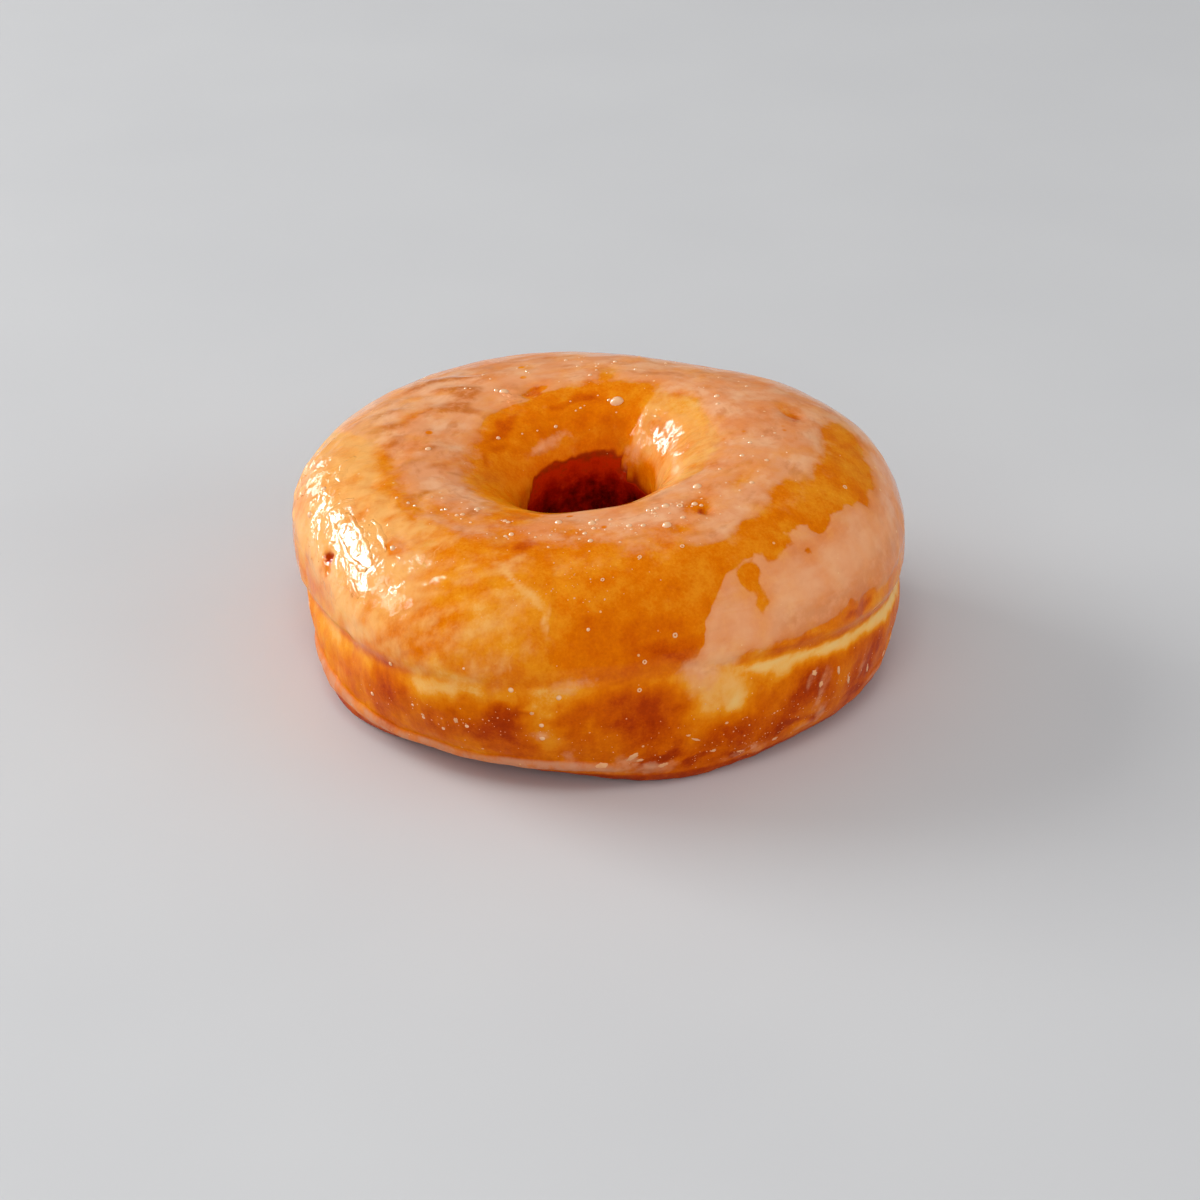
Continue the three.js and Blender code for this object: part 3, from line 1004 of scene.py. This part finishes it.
# Folds in the skin of the glaze: places [angle, turn] along each, its half width and its height.
FOLDS = [
    ([(119, 2.13), (124, 2.06), (123, 1.99)], 0.44, 0.20),
    ([(121, 2.18), (125, 2.15), (128, 2.10)], 0.40, 0.18),
    ([(-165, 1.62), (-166.5, 1.52), (-166, 1.42)], 0.46, 0.18),
    ([(-168, 1.36), (-167, 1.28), (-165.5, 1.22)], 0.42, 0.16),
    ([(-160, 1.55), (-150, 1.53), (-141, 1.48)], 0.75, 0.14),
    ([(-158, 1.42), (-148, 1.38), (-140, 1.40)], 0.75, 0.14),
    ([(-152, 1.64), (-145, 1.62), (-139, 1.56)], 0.65, 0.14),
]
# Places across a fold, in half widths; how far each rises; and how far it is sunk, in millimetres.
FOLD_SECTION = np.array([-1.7, -0.9, -0.4, 0.0, 0.4, 0.9, 1.7, 0.0])
FOLD_RISE = np.array([0.0, 0.35, 0.85, 1.0, 0.85, 0.35, 0.0, 0.0])
FOLD_SINK = np.array([0.12, 0.0, 0.0, 0.0, 0.0, 0.0, 0.12, 0.4])
FOLD_STEPS = 28
FOLD_WOBBLE = 0.3
FOLD_END = 0.3  # the taper would end this far past the outer places, so the fold's ends are blunt


def uneven(steps, low, high, knots, rng):
    """Random values at evenly spread knots, and straight between them."""
    return np.interp(steps, np.linspace(0, steps[-1], knots), rng.uniform(low, high, knots))


def fold_route(places, half_width, height, rng):
    """Angles, lengths and rises of a closed strip along one fold, tapering to both ends."""
    angles, turns = np.transpose(places)
    knots = np.arange(len(places))
    end = knots[-1]
    steps = np.linspace(0, end, FOLD_STEPS)
    angle = np.radians(np.polyval(np.polyfit(knots, angles, end), steps))
    along = np.polyval(np.polyfit(knots, along_of(turns), end), steps)
    radius = spots_at(angle, np.interp(along, SAMPLE_LENGTHS, SAMPLE_TURNS)).radius
    wobble = uneven(steps, -FOLD_WOBBLE, FOLD_WOBBLE, 8, rng)
    across, up = np.gradient(angle) * radius, np.gradient(along)
    length = np.hypot(across, up)
    side_across, side_up = -up / length, across / length
    taper = np.sin(math.pi * (steps + FOLD_END) / (end + 2 * FOLD_END)) ** 0.7
    taper = taper * uneven(steps, 0.6, 1.2, 7, rng)
    offset = wobble[:, None] + taper[:, None] * half_width * FOLD_SECTION
    angles = angle[:, None] + side_across[:, None] * offset / radius[:, None]
    alongs = along[:, None] + side_up[:, None] * offset
    return angles, alongs, taper[:, None] * height * FOLD_RISE - FOLD_SINK


def fold_faces():
    sides = len(FOLD_SECTION)
    last = (FOLD_STEPS - 1) * sides
    faces = [tuple(range(sides)), tuple(range(last + sides - 1, last - 1, -1))]
    for start in range(0, last, sides):
        for side in range(sides):
            after = (side + 1) % sides
            faces.append((start + side, start + sides + side, start + sides + after, start + after))
    return faces


def make_folds(material):
    """Raised folds where the drying skin of the glaze has crinkled."""
    rng = np.random.default_rng(10)
    folds = list(FOLDS)
    zones = [  # angles, turns, count, largest height
        (-174, -146, 1.20, 1.66, 12, 0.10),
        (-215, -180, 1.15, 1.70, 10, 0.12),
    ]
    for start, end, low, high, count, largest in zones:
        for _ in range(count):
            angle, turn = rng.uniform(start, end), rng.uniform(low, high)
            reach, rise = rng.uniform(1.5, 5.0), -rng.uniform(0.02, 0.10)
            bend = rng.uniform(-0.03, 0.03)
            middle = (angle + reach, turn + rise + bend)
            places = [(angle, turn), middle, (angle + 2 * reach, turn + 2 * rise)]
            folds.append((places, rng.uniform(0.6, 1.0), largest * rng.uniform(0.5, 1.0)))
    routes = np.stack([fold_route(*fold, rng) for fold in folds])
    at, milky, rim, points = on_glaze(*routes.swapaxes(0, 1))
    piece = many_mesh("glaze_folds", points.reshape(len(folds), -1, 3), fold_faces(), material)
    paint(piece, at, milky, rim)


def bubble_material():
    n = Nodes("glaze_bubble")
    n.set("Base Color", n.mix(n.noise(1.2, 2), linear(252, 204, 160), linear(244, 182, 126)))
    n.set("Roughness", 0.35)
    n.set("Specular IOR Level", 0.1)
    n.set("Coat Weight", 0.8)
    n.set("Coat IOR", 1.3)
    n.set("Coat Roughness", 0.08)
    return n.material


def sugar_material():
    n = Nodes("dry_sugar")
    n.set("Base Color", n.mix(n.noise(0.8, 3), linear(248, 192, 140), linear(230, 152, 94)))
    n.set("Roughness", n.ramp(n.noise(0.6, 2), 0.3, 0.7, 0.3, 0.6))
    n.set("Specular IOR Level", 0.1)
    n.set("Coat Weight", 0.5)
    n.set("Coat IOR", 1.3)
    n.set("Coat Roughness", 0.1)
    n.set("Normal", n.bump(n.noise(0.3, 2), 0.05, 0.6))
    return n.material


# -------------------- stage

PITCH = math.radians(29.5)
CAMERA_DISTANCE = 0.52
CAMERA_TARGET = Vector((1.7 * MM, 0, 7.7 * MM)) - Vector(CENTRE) * MM
FIELD_OF_VIEW = math.radians(21.02)
FLOOR_HALF = 3.0
# Lamps: name, azimuth and elevation in degrees, width and height, energy in watts.
WINDOWS = [
    ("window_back_left", 144, 21, 0.34, 0.27, 19), ("window_left", 168, 25, 0.26, 0.38, 5),
    ("window_high", 148, 49, 0.16, 0.10, 2.5), ("window_far_left", 126, 5, 0.20, 0.24, 2),
    ("window_low", 151, 9, 0.28, 0.14, 7.5),
]
SOFT_LAMPS = [
    ("soft_key", 160, 26, 0.8, 0.7, 13), ("soft_right", -20, 18, 1.2, 0.8, 4.5),
    ("soft_front", -105, 26, 1.2, 0.8, 3.5), ("soft_top", -95, 66, 0.5, 0.5, 3),
]
WINDOW_DISTANCE = 1.2
SOFT_LAMP_DISTANCE = 1.4
LAMP_TARGET = Vector((0, 0, 0.02))
ROOM_COLOUR = (0.95, 0.97, 1.0, 1)
ROOM_LIGHT = 0.40
ROOM_REFLECTION = 0.10


def aim(thing, target):
    thing.rotation_euler = (target - thing.location).to_track_quat("-Z", "Y").to_euler()


def make_camera():
    data = bpy.data.cameras.new("camera")
    data.sensor_width = 36
    data.angle = FIELD_OF_VIEW
    data.clip_start = 0.01
    camera = new_object("camera", data)
    back = Vector((0, -math.cos(PITCH), math.sin(PITCH)))
    camera.location = CAMERA_TARGET + back * CAMERA_DISTANCE
    aim(camera, CAMERA_TARGET)
    bpy.context.scene.camera = camera


def make_lamp(name, azimuth, elevation, width, height, energy, distance):
    data = bpy.data.lights.new(name, "AREA")
    data.shape = "RECTANGLE"
    data.size = width
    data.size_y = height
    data.energy = energy
    lamp = new_object(name, data)
    around, up = math.radians(azimuth), math.radians(elevation)
    flat = math.cos(up)
    lamp.location = Vector((flat * math.cos(around), flat * math.sin(around), math.sin(up))) * distance
    aim(lamp, LAMP_TARGET)
    return lamp


def make_lamps():
    """Windows that show only in reflections, and soft lamps that don't show in them."""
    for row in WINDOWS:
        make_lamp(*row, WINDOW_DISTANCE).visible_diffuse = False
    for row in SOFT_LAMPS:
        make_lamp(*row, SOFT_LAMP_DISTANCE).visible_glossy = False


def make_room():
    """Even light from all round, which shows only weakly in glossy surfaces."""
    world = bpy.data.worlds.new("room")
    bpy.context.scene.world = world
    world.use_nodes = True
    tree = world.node_tree
    background = tree.nodes["Background"]
    background.inputs["Color"].default_value = ROOM_COLOUR
    ray = tree.nodes.new("ShaderNodeLightPath")
    strength = tree.nodes.new("ShaderNodeMapRange")
    strength.inputs["To Min"].default_value = ROOM_LIGHT
    strength.inputs["To Max"].default_value = ROOM_REFLECTION
    tree.links.new(ray.outputs["Is Glossy Ray"], strength.inputs["Value"])
    tree.links.new(strength.outputs["Result"], background.inputs["Strength"])


def floor_material():
    n = Nodes("pale_floor")
    n.set("Base Color", n.mix(n.noise(60, 2), linear(216, 216, 216), linear(208, 208, 209)))
    n.set("Roughness", 0.6)
    n.set("Specular IOR Level", 0.12)
    return n.material


def make_floor(material):
    mesh = bpy.data.meshes.new("floor")
    corners = [(x * FLOOR_HALF, y * FLOOR_HALF, 0) for x, y in ((-1, -1), (1, -1), (1, 1), (-1, 1))]
    mesh.from_pydata(corners, [], [(0, 1, 2, 3)])
    mesh.materials.append(material)
    floor = new_object("floor", mesh)


make_camera()
make_floor(floor_material())
make_lamps()
make_room()
bpy.context.scene.view_settings.view_transform = "Standard"

glaze = glazed_material("sugar_glaze", 0.0, 0.03)
# The dough's colour is fried crust with painted shade along the crease, in the pit, under the wall's
# foot and deep in the hole.
make_dough(glazed_material("fried_crust_and_painted_shade", 0.25, 0.06))
make_glaze(glaze)
make_folds(glaze)
make_bubbles(bubble_material())
make_crystals(sugar_material())
make_flakes(sugar_material())
